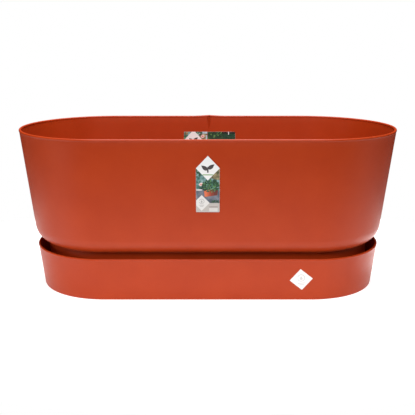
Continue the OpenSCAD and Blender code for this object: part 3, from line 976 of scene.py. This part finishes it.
def make_sticker():
    """Square paper sticker that stands on its point, turned a little as it was stuck on."""
    lo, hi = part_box("saucer_sticker")
    side, turn = 24.5 * MM, math.radians(5.5)
    s, c = math.sin(DRAFT), math.cos(DRAFT)
    flat = Matrix((Vector((1, 0, 0)), Vector((0, -s, c)), Vector((0, -c, -s)))).transposed().to_4x4()
    place = Matrix.Translation((lo + hi) / 2) @ flat @ Matrix.Translation((0, 0, -STICKER_T / 2))
    made = Print("saucer_sticker_paper", place @ Matrix.Rotation(turn, 4, "Z"))
    half = side / math.sqrt(2)
    soft = 0.6 * MM
    square = rectangle(-side / 2, -side / 2, side / 2, side / 2, soft)
    outline = [((x - y) / math.sqrt(2), (x + y) / math.sqrt(2)) for x, y in square]
    made.board(outline, STICKER_T, WHITE)
    water_mark(made, 0, 0.06 * half, 13 * MM, 1, PALE_INK)
    return made.done("saucer", "saucer_sticker")


def make_glue(name, node, body, inside):
    """Two clear gel dots, pressed flat between the card and the wall."""
    lo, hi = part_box(node)
    r, t = (hi.x - lo.x) / 2, 0.5 * MM
    s, c = math.sin(DRAFT), math.cos(DRAFT)
    lower = Vector(((lo.x + hi.x) / 2, lo.y if inside else hi.y, lo.z))
    up, out = (Vector((0, s, c)), Vector((0, -c, s))) if inside else (Vector((0, -s, c)), Vector((0, -c, -s)))
    pitch = (hi.z - lo.z - t * s) / c - 2 * r
    origin = lower + up * r + (Vector((0, t * c, 0)) if inside else Vector((0, 0, t * s)))
    flat = Matrix((Vector((1, 0, 0)), up, out)).transposed().to_4x4()
    bulged = [(0.86, 0), (0.96, 0.22), (0.98, 0.5), (0.95, 0.8), (0.84, 1)]
    section = [(0, 0)] + [(r * across, t * height) for across, height in bulged] + [(0, t)]
    both = bmesh.new()
    for i in range(2):
        dot = turned(section, Vector((0, 0, 0)), steps=40)
        dot.transform(Matrix.Translation(origin + up * pitch * i) @ flat)
        mesh = bpy.data.meshes.new("dot")
        dot.to_mesh(mesh)
        dot.free()
        both.from_mesh(mesh)
        bpy.data.meshes.remove(mesh)
    return finished(as_object(name, both), [GLUE], body, node)


# ---- Studio ----

CAMERA_BACK = 1.169      # distance of the camera in front of the planter's middle
CAMERA_HEIGHT = 0.4094
CAMERA_X = -0.00045
CAMERA_DOWN = math.radians(14.03)
CAMERA_LENS = 64.27      # on a 36 mm sensor
TABLE_LEN = 1.3
TABLE_DEPTH = 0.9


def make_camera():
    data = bpy.data.cameras.new("camera")
    data.lens = CAMERA_LENS
    data.sensor_width = 36
    obj = bpy.data.objects.new("camera", data)
    obj.location = (CAMERA_X, -CAMERA_BACK, CAMERA_HEIGHT)
    obj.rotation_euler = (math.pi / 2 - CAMERA_DOWN, 0, 0)
    bpy.context.scene.collection.objects.link(obj)
    bpy.context.scene.camera = obj


def soft_light(name, place, aim, width, height, power):
    data = bpy.data.lights.new(name, "AREA")
    data.shape = "RECTANGLE"
    data.size, data.size_y = width, height
    data.energy = power
    obj = bpy.data.objects.new(name, data)
    obj.location = place
    obj.rotation_euler = (Vector(aim) - Vector(place)).to_track_quat("-Z", "Y").to_euler()
    obj.visible_camera = False
    bpy.context.scene.collection.objects.link(obj)
    return obj


def make_floor():
    """An oval white light table, which throws light up at the walls."""
    f = Finish("floor_pale", Specular_IOR_Level=0.2, Emission_Color=(1, 1, 1, 1), Emission_Strength=0.68)
    paper = f.noise(400 * MM, detail=2)
    f.paint(Base_Color=f.ramp(paper, (0.3, (0.6, 0.6, 0.6)), (0.8, (0.62, 0.62, 0.62))))
    f.paint(Roughness=f.remap(paper, 0.3, 0.7, 0.85, 0.95))
    bm = bmesh.new()
    bmesh.ops.create_circle(bm, cap_ends=True, segments=96, radius=TABLE_LEN / 2)
    floor = as_object("floor", bm)
    floor.location.z = -0.2 * MM
    floor.scale.y = TABLE_DEPTH / TABLE_LEN
    floor.data.materials.append(f.material)


def make_studio():
    """Soft boxes above and in front, a pale panel at each side, and low strips that only show in the gloss.

    The background is pure white, and doesn't light the object.
    """
    world = bpy.data.worlds.new("studio")
    world.use_nodes = True
    world.node_tree.nodes["Background"].inputs["Color"].default_value = (1, 1, 1, 1)
    world.node_tree.nodes["Background"].inputs["Strength"].default_value = 1.0
    seen_by = world.cycles_visibility
    seen_by.diffuse = seen_by.glossy = seen_by.transmission = seen_by.scatter = False
    bpy.context.scene.world = world
    middle = (0, 0, 0.12)
    soft_light("overhead", (0, -0.8, 3.2), (0, 0, 0), 1.4, 0.8, 50)
    soft_light("back_top", (0, 1.0, 3.0), (0, 0, 0), 1.4, 0.6, 100)
    soft_light("front", (0, -1.8, 1.9), middle, 1.7, 0.9, 45)
    soft_light("left_panel", (-1.15, -0.75, 0.18), middle, 0.4, 0.36, 3.4)
    soft_light("right_panel", (1.15, -0.35, 0.18), middle, 0.3, 0.36, 0.9)
    low_strips = [
        ("left_glow", -0.78, 0.2, 0.55, 0.9, 0.35),
        ("right_glow", 0.78, 0.2, 0.55, 0.9, 0.45),
        ("right_foot_glow", 0.37, 0.1, 0.12, 0.4, 0.25),
        ("front_glow", 0, -0.19, 1.0, 0.12, 0.5),
    ]
    for name, x, y, width, depth, power in low_strips:
        soft_light(name, (x, y, 2 * MM), (x, y, 1), width, depth, power).visible_diffuse = False
    bpy.context.scene.view_settings.view_transform = "Standard"


make_camera()
make_floor()
make_studio()
make_tray()
make_plug()
make_trough()
for number, middle_x in zip(CUPS, CUP_X):
    make_cup(number, middle_x)
    make_wick(number, middle_x)
make_front_label()
make_glue("front_label_dots", "front_label_glue", "trough", False)
make_leaflet_cover()
make_leaflet_back()
make_glue("leaflet_dots", "care_leaflet_glue", "trough", True)
make_sticker()
